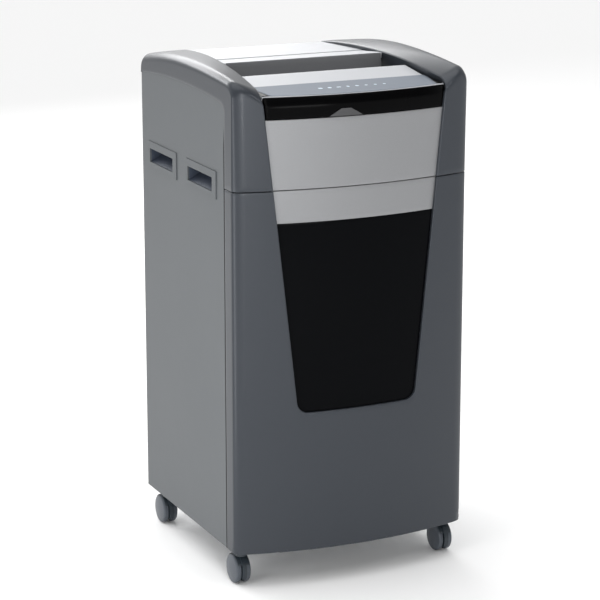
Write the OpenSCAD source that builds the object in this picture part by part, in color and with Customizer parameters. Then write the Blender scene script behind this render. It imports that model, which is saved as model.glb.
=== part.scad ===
// Free-standing office paper shredder with an automatic feed bay.
// Frame: origin on the floor under the middle of the body, +X to the user's right,
// -Y towards the user, +Z up.

/* [Body] */
// Width over the door and the hoods
body_w = 515; // [440:5:640]
// Depth from the bow of the door to the back of the rear panel
body_d = 532; // [450:2:660]
// Height from the floor to the top of the hoods
total_h = 1050; // [880:10:1280]
// Height of the head, from the top of the door to the top of the hoods
head_h = 227; // [215:1:260]
// How far the front bows out in its middle
bow = 32; // [20:1:45]
// Radius of the two upright front corners
corner_r = 22; // [14:1:30]
// Depth of the door's and hoods' side flanges, behind the front corner line
flange_d = 50; // [40:1:60]
// Thickness of the moulded door and hood walls
mould_t = 3; // [2:0.5:4]
// Thickness of the steel panels
panel_t = 2; // [1:0.5:3]
// How far the mouldings stand out past the side panels
proud = 2; // [2:0.5:3]
// Gap between the door and its neighbours
door_gap = 1.5; // [1:0.5:3]

/* [Front insert] */
// Half width of the silver and black insert at the top of the door
insert_half_w = 180; // [150:2:190]
// Sideways lean of the insert's edges, per unit of height
insert_lean = 0.108; // [0.06:0.005:0.12]
// Height of the insert's foot above the door's foot
insert_foot = 291; // [200:5:340]
// Radius of the insert's lower corners
insert_r = 25; // [15:1:35]
// Depth of the insert behind the front surface
insert_depth = 5.5; // [4:0.5:7]
// Height of the silver strip at the top of the door
strip_h = 67; // [40:1:80]
// Height of the black band across the feed lid
band_h = 43; // [30:1:50]

/* [Hoods] */
// Width of each hood's top at its front end
hood_w = 57; // [45:1:70]
// How much the lid opening narrows on each side, per unit of depth
hood_flare = 0.09; // [0.04:0.01:0.11]
// Slope of the hood tops down towards the lid, in degrees
hood_slope = 8; // [4:1:9]
// Height of the hoods' side skirts at mid depth
skirt_h = 48; // [40:1:60]

/* [Feed] */
// Width of the paper path
feed_w = 236; // [220:2:260]
// Width of the slit for hand-fed sheets
slit_w = 12; // [8:1:14]
// Width of the valley over the slit
valley_w = 89; // [70:1:95]
// Distance between the two cutter shafts
shaft_gap = 48; // [44:2:56]
// Radius of the cutter shafts
shaft_r = 10; // [8:1:12]
// How deep the cutter discs reach between one another
disc_lap = 4; // [2:0.5:6]
// Number of cutter discs on each shaft
disc_count = 20; // [12:1:22]
// Running clearance of every shaft in its hole, measured on the radius
run_gap = 0.05; // [0.02:0.01:0.1]
// Module of the drive gears
gear_module = 2; // [1.5:0.25:2.25]

/* [Openings] */
// Length of a hand grip's hole
grip_w = 128; // [100:2:140]
// Height of a hand grip's hole
grip_h = 29; // [24:1:36]
// Depth of a hand grip's pocket
grip_depth = 26; // [18:1:30]
// Height of the finger notch at the door's free edge
notch_h = 122; // [80:2:160]
// Depth of the finger notch
notch_d = 6; // [5:0.5:8]

/* [Castors] */
// Height from the floor to the underside of the cabinet
castor_h = 75; // [70:1:90]
// Diameter of the castor wheels
wheel_dia = 60; // [50:1:62]
// Width over a pair of castor wheels
wheel_pair_w = 36; // [32:1:44]
// Distance from a castor's swivel axis back to its axle
trail = 14; // [10:1:18]

/* [Bin] */
// Gap between the bin and the parts round it
bin_gap = 8; // [5:1:15]
// Wall thickness of the bin
bin_t = 2.5; // [2:0.5:4]
// Distance that the bin comes forward as the door opens
bin_pull = 100; // [60:5:100]

/* [Hidden] */

$fn = 64;
// Facets of the very large circles, in the quick view only
fine = 720;
// Overlap of a cut past the face that it starts from
cut = 1;
far = 2000;

// Main planes
half_w = body_w / 2;
nose_y = -body_d / 2;
rear_y = body_d / 2;
corner_y = nose_y + bow;
flange_y = corner_y + flange_d;
base_z = castor_h;
seam_z = total_h - head_h;
door_top = seam_z - door_gap;
skin_x = half_w - proud;
inner_x = skin_x - panel_t;
inner_y = rear_y - panel_t;
// The bow of the front is an arc through the nose and the two corner lines
bow_chord = half_w - corner_r;
bow_r = (bow_chord * bow_chord + bow * bow) / (2 * bow);
// Centre of the corner rounds, which touch both the arc and the sides
fillet_y = nose_y + bow_r - sqrt(pow(bow_r - corner_r, 2) - bow_chord * bow_chord);

// Front insert
insert_top = total_h - 43;
band_z = insert_top - band_h;
insert_z = base_z + insert_foot;
strip_z = seam_z - strip_h;
insert_t = 3;
insert_lap = 5;

// Hoods: two arcs meet at the highest point of the side outline
apex_y = 20;
hood_front_r = 2700;
hood_rear_r = 1250;
hood_skirt_r = 2100;
skirt_corner_r = 22;
hood_t = proud - 0.1;
web_h = 62;

// Lid
lid_gap = 2;
lid_hinge_y = 80;
lid_hinge_z = total_h - 21;
lid_nose_r = 5;
cover_y = lid_hinge_y + lid_nose_r + 1;
lid_t = 3;
band_t = 4;
strip_t = 0.8;
panel_mid_y = -159;
slit_y = -16;
slit_z = total_h - 76;
valley_front = slit_y - 72;
valley_rear = valley_front + valley_w;
panel_z = total_h - 43;
panel_mid_z = panel_z + 7;
panel_rear_z = total_h - 24;
wall_top_z = total_h - 11;
rod_r = 2.5;

// Cutting unit
cut_z = total_h - 188;
disc_r = (shaft_gap + disc_lap) / 2;
disc_pitch = feed_w / disc_count;
disc_t = disc_pitch / 2 - 0.9;
front_shaft_y = slit_y - shaft_gap / 2;
rear_shaft_y = slit_y + shaft_gap / 2;
frame_x = feed_w / 2 + 8;
frame_t = 6;
bay_x = 156;
gear_x = bay_x + 6;
gear_t = 8;
sync_teeth = round(shaft_gap / gear_module);
drive_teeth = 2 * sync_teeth;
pinion_teeth = 20;
roller_teeth = 34;
drive_x = gear_x + gear_t + 4;
motor_y = rear_shaft_y + gear_module * (drive_teeth + pinion_teeth) / 2;
motor_r = 30;
roller_y = -60;
roller_reach = gear_module * (sync_teeth + roller_teeth) / 2;
roller_z = cut_z + sqrt(roller_reach * roller_reach - pow(roller_y - front_shaft_y, 2));
roller_r = 17;
feed_shaft_r = 4;
tray_z = round((roller_z + roller_r - 3) * 100) / 100;

// Shelf under the cutting unit, and the bin under it
shelf_z = seam_z - 25;
shelf_t = 3;
tray_t = 2;
socket_depth = 18;
bin_x0 = -half_w + 66;
bin_x1 = inner_x - bin_gap - 6;
bin_y0 = corner_y + 44;
bin_y1 = inner_y - socket_depth - 4;
bin_z0 = base_z + 18;
bin_z1 = shelf_z - 36;

// Door hinge: the pin is in the round nose at the back of the left flange
pin_inset = 6;
pin_r = 3;
pin_x = -half_w + pin_inset;
pin_y = flange_y - door_gap / 2 - pin_inset;
liner_y = corner_y + 22;

// Castors
wheel_r = wheel_dia / 2;
wheel_t = 13;
castor_x = half_w - 26;
castor_front_y = corner_y + 38;
castor_rear_y = rear_y - 59;
stem_r = 5.5;
axle_r = 3;
plate_t = 3;

// Rear sockets
inlet_x = -170;
inlet_z = base_z + 60;
screw_r = 4;

graphite = [0.30, 0.32, 0.35];
steel_grey = [0.49, 0.51, 0.52];
silver = [0.66, 0.66, 0.67];
black = [0.05, 0.05, 0.06];

// Half width of the front insert at a height
function insert_x(z) = insert_half_w + insert_lean * (z - seam_z);
// Half width of the lid opening between the hoods, at a depth
function lid_x(y) = half_w - hood_w - hood_flare * (y - corner_y);
// Phase of a gear that meshes with another whose phase is known; dir points to the new gear
function mesh_phase(phase, teeth, new_teeth, dir) =
    dir + 180 - 360 / new_teeth * (0.5 - (dir - phase) * teeth / 360);
function at_angle(r, a) = [r * cos(a), r * sin(a)];

// A box from its lowest to its highest corner
module block(low, high) {
    translate(low) cube(high - low);
}

// A cylinder along X
module x_rod(r, x0, x1) {
    translate([x0, 0, 0]) rotate([0, 90, 0]) cylinder(r = r, h = x1 - x0);
}

// An outline drawn in Y and Z, made solid along X
module along_x(x0, x1) {
    translate([x0, 0, 0]) rotate([90, 0, 90]) linear_extrude(x1 - x0) children();
}

// An outline drawn in X and Z, made solid along Y
module along_y(y0, y1) {
    translate([0, y1, 0]) rotate([90, 0, 0]) linear_extrude(y1 - y0) children();
}

// The plan of the body: a bowed front, round front corners and straight sides
module plan(inset = 0) {
    touch_x = bow_chord * (bow_r - inset) / (bow_r - corner_r);
    side_x = half_w - inset;
    intersection() {
        translate([0, nose_y + bow_r]) circle(r = bow_r - inset, $fn = fine);
        translate([-touch_x, nose_y]) square([2 * touch_x, bow_r]);
    }
    translate([-side_x, fillet_y]) square([2 * side_x, rear_y - fillet_y]);
    for (s = [-1, 1])
        translate([s * bow_chord, fillet_y]) circle(r = corner_r - inset);
}

// A layer of the front between two depths, as a bowed sheet
module bowed_sheet(depth, t, z0, z1) {
    intersection() {
        translate([0, nose_y + bow_r, z0]) difference() {
            cylinder(r = bow_r - depth, h = z1 - z0, $fn = fine);
            translate([0, 0, -cut]) cylinder(r = bow_r - depth - t, h = z1 - z0 + 2 * cut, $fn = fine);
        }
        block([-half_w, nose_y - cut, z0 - cut], [half_w, flange_y, z1 + cut]);
    }
}

// The leaning outline of the front insert, grown sideways by a margin
module insert_outline(margin, top_z) {
    lean_len = sqrt(1 + insert_lean * insert_lean);
    foot_z = insert_z - margin;
    r = insert_r + margin;
    side = insert_x(foot_z + r) + margin * lean_len;
    round_x = side - r * lean_len;
    touch_x = round_x + r / lean_len;
    touch_z = foot_z + r - r * insert_lean / lean_len;
    top_x = insert_x(top_z) + margin * lean_len;
    polygon([
        [-round_x, foot_z], [round_x, foot_z], [touch_x, touch_z], [top_x, top_z],
        [-top_x, top_z], [-touch_x, touch_z]
    ]);
    for (s = [-1, 1])
        translate([s * round_x, foot_z + r]) circle(r = r);
}

// ---- Cabinet ----

module grip_hole(s, y0) {
    block([min(s * inner_x, s * half_w) - cut, y0, grip_z()],
          [max(s * inner_x, s * half_w) + cut, y0 + grip_w, grip_z() + grip_h]);
}

function grip_z() = seam_z - 18;
function grip_y() = [corner_y + 114, corner_y + 325];

module side_panel(s) {
    color(steel_grey) difference() {
        block([min(s * inner_x, s * skin_x), flange_y + door_gap / 2, base_z],
              [max(s * inner_x, s * skin_x), inner_y, total_h - skirt_h + 8]);
        for (y0 = grip_y()) grip_hole(s, y0);
    }
}

module side_panel_left() side_panel(-1);
module side_panel_right() side_panel(1);

module rear_panel() {
    color(steel_grey) difference() {
        block([-skin_x, inner_y, base_z], [skin_x, rear_y, total_h - skirt_h + 8]);
        // Inlet and switch hole, and rows of slots over the motor
        block([inlet_x - 25, inner_y - cut, inlet_z - 15], [inlet_x + 25, rear_y + cut, inlet_z + 15]);
        for (i = [0 : 7], s = [-1, 1])
            translate([s * 50 - 35, inner_y - cut, seam_z + 30 + 9 * i]) cube([70, panel_t + 2 * cut, 4]);
        for (s = [-1, 1], z = screw_z())
            translate([s * (skin_x - 12), inner_y - cut, z]) rotate([-90, 0, 0])
                cylinder(r = screw_r, h = panel_t + 2 * cut, $fn = 32);
    }
}

module base_tray() {
    color(steel_grey) difference() {
        block([-inner_x, flange_y + door_gap, base_z], [inner_x, inner_y, base_z + 14]);
        block([-inner_x + panel_t, flange_y + door_gap + panel_t, base_z + tray_t],
              [inner_x - panel_t, inner_y - panel_t, base_z + 14 + cut]);
    }
}

module bin_rails() {
    color(silver) for (x = [bin_x0 + 14, bin_x1 - 32])
        block([x, flange_y + 8, base_z + tray_t], [x + 18, inner_y - 6, bin_z0 - 1]);
}

// Shelf that carries the cutting unit, with turned-down ends and the chute hole
module head_chassis() {
    color(steel_grey) difference() {
        block([-inner_x, flange_y + door_gap, shelf_z - 16], [inner_x, inner_y, shelf_z + shelf_t]);
        block([-inner_x + panel_t, flange_y, shelf_z - 16 - cut], [inner_x - panel_t, inner_y + cut, shelf_z]);
        block([-feed_w / 2, slit_y - 50, shelf_z - cut], [feed_w / 2, slit_y + 50, shelf_z + shelf_t + cut]);
    }
}

// ---- Hoods and head ----

// Side outline of the hoods, lowered by an inset, in Y and Z
module hood_outline(inset) {
    top_r = [hood_front_r - inset, hood_rear_r - inset];
    round_r = 20 - inset;
    front_y = nose_y + 16 + inset;
    difference() {
        union() {
            intersection() {
                translate([apex_y, total_h - hood_front_r]) circle(r = top_r[0], $fn = 4 * fine);
                translate([front_y, seam_z]) square([apex_y - front_y, head_h]);
            }
            intersection() {
                translate([apex_y, total_h - hood_rear_r]) circle(r = top_r[1], $fn = 2 * fine);
                translate([apex_y, seam_z]) square([inner_y - inset - apex_y, head_h]);
            }
        }
        // Round between the top and the front of the hood
        translate([front_y, total_h - 33 - inset]) difference() {
            translate([-cut, 0]) square([round_r + cut, 40]);
            translate([round_r, 0]) circle(r = round_r);
        }
    }
}

// The part of the hood's sides that is left open for the side panels
module skirt_cut() {
    low_y = flange_y;
    top_z = total_h - skirt_h;
    intersection() {
        translate([(low_y + rear_y) / 2, top_z - hood_skirt_r]) circle(r = hood_skirt_r, $fn = 4 * fine);
        difference() {
            translate([low_y, 0]) square([rear_y - low_y + cut, total_h]);
            translate([low_y, top_z - 12 - skirt_corner_r]) difference() {
                translate([-cut, 0]) square([skirt_corner_r + cut, 60]);
                translate([skirt_corner_r, 0]) circle(r = skirt_corner_r);
            }
        }
    }
}

// One skin of a hood: the side outline leans towards the lid and meets the plan
module hood_form(inset, plan_inset) {
    intersection() {
        translate([half_w, 0, total_h]) rotate([0, -hood_slope, 0]) translate([0, 0, -total_h])
            along_x(-140, 60) hood_outline(inset);
        translate([0, 0, seam_z]) linear_extrude(head_h) plan(plan_inset);
    }
}

// Everything between the two inner edges of the hoods
module lid_well(gap) {
    front = corner_y;
    linear_extrude(far) polygon([
        [-lid_x(nose_y) + gap, nose_y - 10], [lid_x(nose_y) - gap, nose_y - 10],
        [lid_x(rear_y) - gap, rear_y + 10], [-lid_x(rear_y) + gap, rear_y + 10]
    ]);
}

module hood_right() {
    wall = mould_t;
    color(graphite) difference() {
        union() {
            difference() {
                hood_form(0, 0);
                difference() {
                    hood_form(wall, hood_t);
                    // The front leg has a full wall
                    block([0, nose_y, seam_z], [half_w, fillet_y, total_h - 60]);
                }
                hood_form(wall, wall);
                block([0, flange_y - 10, seam_z - cut], [half_w - hood_t, rear_y + cut, total_h - skirt_h + 9]);
            }
            // Upright web along the lid opening
            intersection() {
                hood_form(wall / 2, wall / 2);
                difference() {
                    lid_well(-wall);
                    lid_well(0);
                }
                block([0, fillet_y + 14, total_h - web_h], [half_w, rear_y, total_h]);
            }
        }
        intersection() {
            lid_well(0);
            block([-half_w, nose_y - cut, insert_top], [half_w, rear_y + cut, far]);
        }
        intersection() {
            lid_well(0);
            block([-half_w, fillet_y + 10, 0], [half_w, rear_y + cut, far]);
        }
        along_y(nose_y - cut, fillet_y + 12) insert_outline(0, total_h);
        along_x(half_w - hood_t - 1.5, half_w + cut) skirt_cut();
        block([-half_w, nose_y - cut, 0], [half_w, rear_y, seam_z]);
        translate([0, lid_hinge_y, lid_hinge_z]) x_rod(rod_r, 0, lid_x(lid_hinge_y) + wall + cut);
    }
}

module hood_left() mirror([1, 0, 0]) hood_right();

module head_fascia() {
    color(silver) intersection() {
        bowed_sheet(insert_depth, insert_t, seam_z, band_z - lid_gap);
        along_y(nose_y, flange_y) insert_outline(insert_lap, total_h);
    }
}

// A grip's raised plate, its pocket and the pocket's sloping floor
module grip(y0) {
    cup_t = 2;
    z0 = grip_z();
    difference() {
        union() {
            block([skin_x, y0 - 20, z0 - 12], [skin_x + proud, y0 + grip_w + 10, z0 + grip_h + 15]);
            block([skin_x - grip_depth - cup_t, y0 - cup_t, z0 - cup_t],
                  [skin_x, y0 + grip_w + cup_t, z0 + grip_h + cup_t]);
        }
        difference() {
            block([skin_x - grip_depth, y0, z0], [half_w + cut, y0 + grip_w, z0 + grip_h]);
            along_y(y0 - cut, y0 + grip_w + cut) polygon([
                [skin_x - grip_depth - cut, z0 - cut], [skin_x, z0 - cut],
                [skin_x - grip_depth - cut, z0 + grip_h / 2]
            ]);
        }
        // The pocket passes through the hole in the side panel
        difference() {
            block([inner_x, y0 - 5, z0 - 5], [skin_x, y0 + grip_w + 5, z0 + grip_h + 5]);
            block([inner_x - cut, y0, z0], [skin_x + cut, y0 + grip_w, z0 + grip_h]);
        }
    }
}

module grips_right() {
    color(steel_grey) for (y0 = grip_y()) grip(y0);
}

module grips_left() mirror([1, 0, 0]) grips_right();

module rear_cover() {
    front = cover_y;
    top_z = total_h - 16;
    color([0.86, 0.87, 0.88]) intersection() {
        difference() {
            along_x(-half_w, half_w) polygon([
                [front, top_z - 30], [front, top_z], [rear_y - 14, top_z - 4], [rear_y - 2, top_z - 14],
                [rear_y - 2, top_z - 40], [rear_y - 5, top_z - 40], [rear_y - 5, top_z - 16],
                [rear_y - 16, top_z - 7], [front + 3, top_z - 3], [front + 3, top_z - 30]
            ]);
        }
        lid_well(0.3);
    }
}

// ---- Feed path ----

// Bay where the stack lies: a floor with the feed slot and roller windows, and low walls
module feed_tray() {
    y0 = nose_y + 26;
    y1 = lid_hinge_y - 20;
    wall_z = band_z - 6;
    color(black) difference() {
        block([-bay_x - 2, y0, tray_z - tray_t], [bay_x + 2, y1, wall_z]);
        block([-bay_x, y0 + 2, tray_z], [bay_x, y1 - 2, wall_z + cut]);
        block([-feed_w / 2, slit_y - slit_w, tray_z - 3], [feed_w / 2, slit_y + slit_w, tray_z + cut]);
        for (s = [-1, 1])
            block([s * 60 - 20, roller_y - 21, tray_z - 3], [s * 60 + 20, roller_y + 21, tray_z + cut]);
    }
}

// Chute that drops the shreds from the cutters into the bin
module shred_chute() {
    wall = 2;
    top_z = cut_z - disc_r - 8;
    color(black) difference() {
        block([-feed_w / 2, slit_y - 50, shelf_z - 30], [feed_w / 2, slit_y + 50, top_z]);
        block([-feed_w / 2 + wall, slit_y - 50 + wall, shelf_z - 31],
              [feed_w / 2 - wall, slit_y + 50 - wall, top_z + cut]);
    }
}

// Two steel plates that hold the shafts
module cutter_frames() {
    hole = shaft_r + 2;
    color(silver) for (s = [-1, 1]) {
        x0 = s > 0 ? frame_x : -frame_x - frame_t;
        difference() {
            block([x0, slit_y - 62, shelf_z + shelf_t], [x0 + frame_t, slit_y + 62, tray_z - tray_t]);
            for (y = [front_shaft_y, rear_shaft_y])
                translate([0, y, cut_z]) x_rod(hole, x0 - cut, x0 + frame_t + cut);
            translate([0, roller_y, roller_z]) x_rod(feed_shaft_r + run_gap, x0 - cut, x0 + frame_t + cut);
        }
    }
}

module tie_bars() {
    color(silver) for (y = [slit_y - 56, motor_y - 36], z = [cut_z - 24, roller_z - roller_r - 5.5])
        translate([0, y, z]) x_rod(4, -frame_x, frame_x);
}

// Rigid fingers that clear the gaps between the discs of each shaft
module stripper_combs() {
    finger_t = disc_pitch - disc_t - 2;
    color(black) for (s = [-1, 1]) {
        y_near = slit_y + s * (shaft_gap / 2 + shaft_r + 2);
        y_far = slit_y + s * (shaft_gap / 2 + disc_r + 2);
        bar = s > 0 ? [y_far, y_far + 4] : [y_far - 4, y_far];
        block([-frame_x, bar[0], cut_z - 8], [frame_x, bar[1], cut_z + 8]);
        for (i = [0 : disc_count - 2]) {
            x = disc_start(s) + (i + 0.5) * disc_pitch;
            block([x - finger_t / 2, min(y_near, y_far), cut_z - 4], [x + finger_t / 2, max(y_near, y_far), cut_z + 4]);
        }
    }
}

module shaft_bearings() {
    color(silver) for (s = [-1, 1], y = [front_shaft_y, rear_shaft_y]) {
        x0 = s > 0 ? frame_x : -frame_x - frame_t;
        translate([0, y, cut_z]) difference() {
            x_rod(shaft_r + 2, x0, x0 + frame_t);
            x_rod(shaft_r - 2 + run_gap, x0 - cut, x0 + frame_t + cut);
        }
    }
}

// First disc of a shaft; the two shafts are half a pitch apart
function disc_start(s) = -feed_w / 2 + disc_pitch * (s > 0 ? 0.75 : 0.25);

// A shaft with its row of discs
module cutter_shaft(s, end_x) {
    color(silver) {
        x_rod(shaft_r, -frame_x + 1, frame_x - 1);
        x_rod(shaft_r - 2, -frame_x - frame_t, end_x);
        for (i = [0 : disc_count - 1])
            translate([disc_start(s) + i * disc_pitch, 0, 0]) x_rod(disc_r, -disc_t / 2, disc_t / 2);
    }
}

module cutter_front() translate([0, front_shaft_y, cut_z]) cutter_shaft(-1, gear_x + gear_t);
module cutter_rear() translate([0, rear_shaft_y, cut_z]) cutter_shaft(1, drive_x + gear_t);

// A spur gear along X with a bore; the teeth are trapezoids with play at the pitch line
module spur_gear(teeth, phase, bore, x0, t) {
    pitch_r = gear_module * teeth / 2;
    root_r = pitch_r - 1.25 * gear_module;
    tip_r = pitch_r + 0.8 * gear_module;
    step = 360 / teeth;
    along_x(x0, x0 + t) difference() {
        union() {
            circle(r = root_r);
            for (i = [0 : teeth - 1]) {
                a = phase + i * step;
                polygon([
                    at_angle(root_r - 1, a - step * 0.3), at_angle(tip_r, a - step * 0.1),
                    at_angle(tip_r, a + step * 0.1), at_angle(root_r - 1, a + step * 0.3)
                ]);
            }
        }
        circle(r = bore);
    }
}

roller_dir = atan2(roller_z - cut_z, roller_y - front_shaft_y);
rear_phase = mesh_phase(0, sync_teeth, sync_teeth, 0);

module sync_gear_front() {
    color(silver) translate([0, front_shaft_y, cut_z]) spur_gear(sync_teeth, 0, shaft_r - 2, gear_x, gear_t);
}

// The rear shaft's gear pair: one meshes with the front shaft, the larger with the motor
module sync_gear_rear() {
    color(silver) translate([0, rear_shaft_y, cut_z]) {
        spur_gear(sync_teeth, rear_phase, shaft_r - 2, gear_x, gear_t);
        spur_gear(drive_teeth, 0, shaft_r - 2, drive_x, gear_t);
    }
}

module motor_pinion() {
    color(silver) translate([0, motor_y, cut_z]) {
        spur_gear(pinion_teeth, mesh_phase(0, drive_teeth, pinion_teeth, 0), 4, drive_x, gear_t);
        x_rod(4, frame_x + 8, drive_x + gear_t + 2);
    }
}

module feed_gear() {
    color(black) translate([0, roller_y, roller_z])
        spur_gear(roller_teeth, mesh_phase(0, sync_teeth, roller_teeth, roller_dir), feed_shaft_r, gear_x, gear_t);
}

// Feed shaft with two soft rollers that reach up through the tray
module feed_roller() {
    color(black) translate([0, roller_y, roller_z]) {
        x_rod(feed_shaft_r, -frame_x - frame_t - 2, gear_x + gear_t + 2);
        for (x = [-75, 45]) x_rod(roller_r, x, x + 30);
    }
}

module motor() {
    color(silver) translate([0, motor_y, cut_z]) difference() {
        union() {
            x_rod(motor_r, -60, frame_x - 10);
            x_rod(12, -68, -59);
            x_rod(14, frame_x - 11, frame_x);
        }
        x_rod(4 + run_gap, frame_x + 1 - 12, frame_x + cut);
    }
}

// Cradle under the motor
module motor_bracket() {
    color(steel_grey) for (x = [-45, 70]) difference() {
        block([x, motor_y - 30, shelf_z + shelf_t], [x + 20, motor_y + 40, cut_z - 4]);
        translate([0, motor_y, cut_z]) x_rod(motor_r, x - cut, x + 20 + cut);
    }
}

// Guard over the gears, open towards the frame plate
module gear_cover() {
    x1 = drive_x + gear_t + 10;
    y0 = roller_y - 46;
    y1 = motor_y + gear_module * pinion_teeth / 2 + 8;
    z1 = cut_z + 58;
    color(black) difference() {
        block([gear_x - 3, y0, shelf_z + shelf_t], [x1, y1, z1]);
        block([gear_x - 3 - cut, y0 + 2, shelf_z + shelf_t - cut], [x1 - 2, y1 - 2, z1 - 2]);
        block([gear_x - 3 - cut, y0 - cut, cut_z + 20], [x1 + cut, roller_y + 46, z1 + cut]);
    }
}

module circuit_boards() {
    color([0.1, 0.35, 0.2]) {
        block([-inner_x + 8, 30, cut_z - 20], [-inner_x + 10, 230, cut_z + 70]);
        block([-inner_x + 30, inner_y - 14, cut_z - 20], [-inner_x + 130, inner_y - 12, cut_z + 60]);
    }
}

// Mains inlet and the housing of the rocker switch beside it
module power_inlet() {
    color(black) difference() {
        union() {
            block([inlet_x - 25, inner_y - socket_depth, inlet_z - 15], [inlet_x + 25, rear_y, inlet_z + 15]);
        }
        block([inlet_x - 21, inner_y - 14, inlet_z - 8], [inlet_x + 3, rear_y + cut, inlet_z + 8]);
        block([inlet_x + 8, inner_y - 12, inlet_z - 11], [inlet_x + 22, rear_y + cut, inlet_z + 11]);
    }
}

module rocker_switch() {
    x0 = inlet_x + 8.4;
    x1 = inlet_x + 21.6;
    r = 9;
    color(black) translate([0, rear_y - 9, inlet_z])
        along_x(x0, x1) polygon([[-3, -6], [8, -r], [7.2, 0], [6, r], [-3, 6]]);
}

// ---- Door ----

// Short pins above and below the door's nose, on plates fixed to the cabinet
module hinge_brackets() {
    pin_len = 14;
    plate = 2.5;
    reach = 24;
    color(silver) {
        translate([pin_x, pin_y, base_z]) cylinder(r = pin_r, h = pin_len);
        block([-inner_x, pin_y - 4, base_z], [-inner_x + reach, flange_y + door_gap, base_z + plate]);
        translate([pin_x, pin_y, door_top - pin_len]) cylinder(r = pin_r, h = pin_len);
        block([-inner_x, pin_y - 4, door_top - plate], [-inner_x + reach, flange_y + reach, door_top]);
    }
}

// Hole round a hinge pin and the room for its plate
module hinge_room(z0, z1) {
    block([-half_w - cut, pin_y - 7, z0], [-half_w + 60, flange_y + cut, z1]);
}

module door_body(inset, z0, z1) {
    translate([0, 0, z0]) linear_extrude(z1 - z0) intersection() {
        plan(inset);
        translate([-half_w, nose_y - cut]) square([body_w, flange_y - door_gap / 2 - nose_y + cut - (inset > 0 ? -cut : 0)]);
    }
}

// The notch at the free edge, where fingers pull the door
module notch_space(grow) {
    z1 = seam_z - 13 + grow;
    block([half_w - notch_d - grow, corner_y - 4 - grow, z1 - notch_h - 2 * grow],
          [half_w + 10, flange_y + (grow > 0 ? -door_gap / 2 : cut), z1]);
}

// The square corner outside the round nose, which is cut away
module nose_corner() {
    edge = flange_y - door_gap / 2;
    difference() {
        block([-half_w - cut, edge - pin_inset, base_z - cut], [pin_x, edge + cut, far]);
        translate([pin_x, pin_y, base_z - 2]) cylinder(r = pin_inset, h = far);
    }
}

module door_shell() {
    top = door_top;
    color(graphite) difference() {
        union() {
            difference() {
                door_body(0, base_z, top);
                door_body(mould_t, base_z + mould_t, top - mould_t);
            }
            intersection() {
                door_body(0, base_z, top);
                notch_space(mould_t);
            }
            // Solid round nose that turns on the pins
            translate([pin_x, pin_y, base_z]) cylinder(r = pin_inset, h = top - base_z);
        }
        nose_corner();
        notch_space(0);
        along_y(nose_y - cut, nose_y + bow + 14) insert_outline(0, total_h);
        translate([pin_x, pin_y, base_z - cut]) cylinder(r = pin_r + run_gap, h = top);
        for (z = [[base_z - cut, base_z + 3], [top - 3, top + cut]]) hinge_room(z[0], z[1]);
        // Room at the back of the insert for the strip and the window
        along_y(nose_y + insert_depth, nose_y + bow + 20) insert_outline(insert_lap, total_h);
        block([-insert_x(top) - 6, nose_y + insert_depth, top - mould_t - cut],
              [insert_x(top) + 6, flange_y - 30, top + cut]);
    }
}

module door_liner() {
    color(black) difference() {
        block([-half_w + 20, liner_y, base_z + mould_t + 1], [half_w - notch_d - 8, liner_y + 3, door_top - mould_t - 1]);
    }
}

module door_strip() {
    color(silver) intersection() {
        bowed_sheet(insert_depth, insert_t, strip_z, door_top);
        along_y(nose_y, flange_y) insert_outline(insert_lap - 0.3, total_h);
    }
}

module door_window() {
    color(black) intersection() {
        bowed_sheet(insert_depth + 0.5, insert_t, insert_z - insert_lap, strip_z);
        along_y(nose_y, flange_y) insert_outline(insert_lap - 0.3, total_h);
    }
}

module door_catch() {
    color(silver) block([half_w - 50, liner_y + 3, shelf_z - 34], [half_w - 26, liner_y + 5, shelf_z + 4]);
}

module door_magnet() {
    color(silver) block([half_w - 48, liner_y + 5.5, shelf_z - 32], [half_w - 28, flange_y + 20, shelf_z]);
}

module interlock_switch() {
    color(black) block([half_w - 88, liner_y + 6, shelf_z - 18], [half_w - 66, flange_y + 20, shelf_z]);
}

// ---- Lid over the feed bay ----

// Height of the lid's top surface, drawn as a run of straight lines in Y and Z
function lid_top() = [
    [panel_front(), panel_z], [panel_mid_y, panel_mid_z], [valley_front, panel_rear_z]
];
function panel_front() = nose_y + insert_depth + 6;

module lid_shell() {
    t = lid_t;
    color([0.84, 0.85, 0.86]) difference() {
        union() {
            intersection() {
                along_x(-half_w, half_w) union() {
                    // Front panel, down to the front of the slit
                    polygon(concat(lid_top(), [
                        [slit_y - slit_w / 2 - 3, slit_z], [slit_y - slit_w / 2 - 3, slit_z - t],
                        [valley_front - 2, panel_rear_z - 6], [panel_mid_y, panel_mid_z - t],
                        [panel_front(), panel_z - t]
                    ]));
                    // Rear strip, from the slot wall back to the hinge
                    polygon([
                        [valley_rear + 6, wall_top_z], [lid_hinge_y, lid_hinge_z + lid_nose_r],
                        [lid_hinge_y, lid_hinge_z + lid_nose_r - t], [valley_rear + 6, wall_top_z - t]
                    ]);
                    translate([lid_hinge_y, lid_hinge_z]) circle(r = lid_nose_r);
                }
                lid_well(lid_gap);
                linear_extrude(far) plan(insert_depth + band_t);
            }
            // Side walls of the lid
            intersection() {
                difference() {
                    lid_well(lid_gap);
                    lid_well(lid_gap + t);
                }
                along_x(-half_w, half_w) polygon([
                    [corner_y, band_z + 6], [corner_y, panel_z - 1],
                    [panel_mid_y, panel_mid_z - 1], [valley_front, panel_rear_z - 1],
                    [valley_rear + 6, wall_top_z - 1], [lid_hinge_y, lid_hinge_z + lid_nose_r - 1],
                    [lid_hinge_y, lid_hinge_z - 3], [valley_rear, slit_z - 3], [valley_front, band_z + 6]
                ]);
            }
        }
        translate([0, lid_hinge_y, lid_hinge_z]) x_rod(rod_r + run_gap, -half_w, half_w);
    }
}

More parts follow.
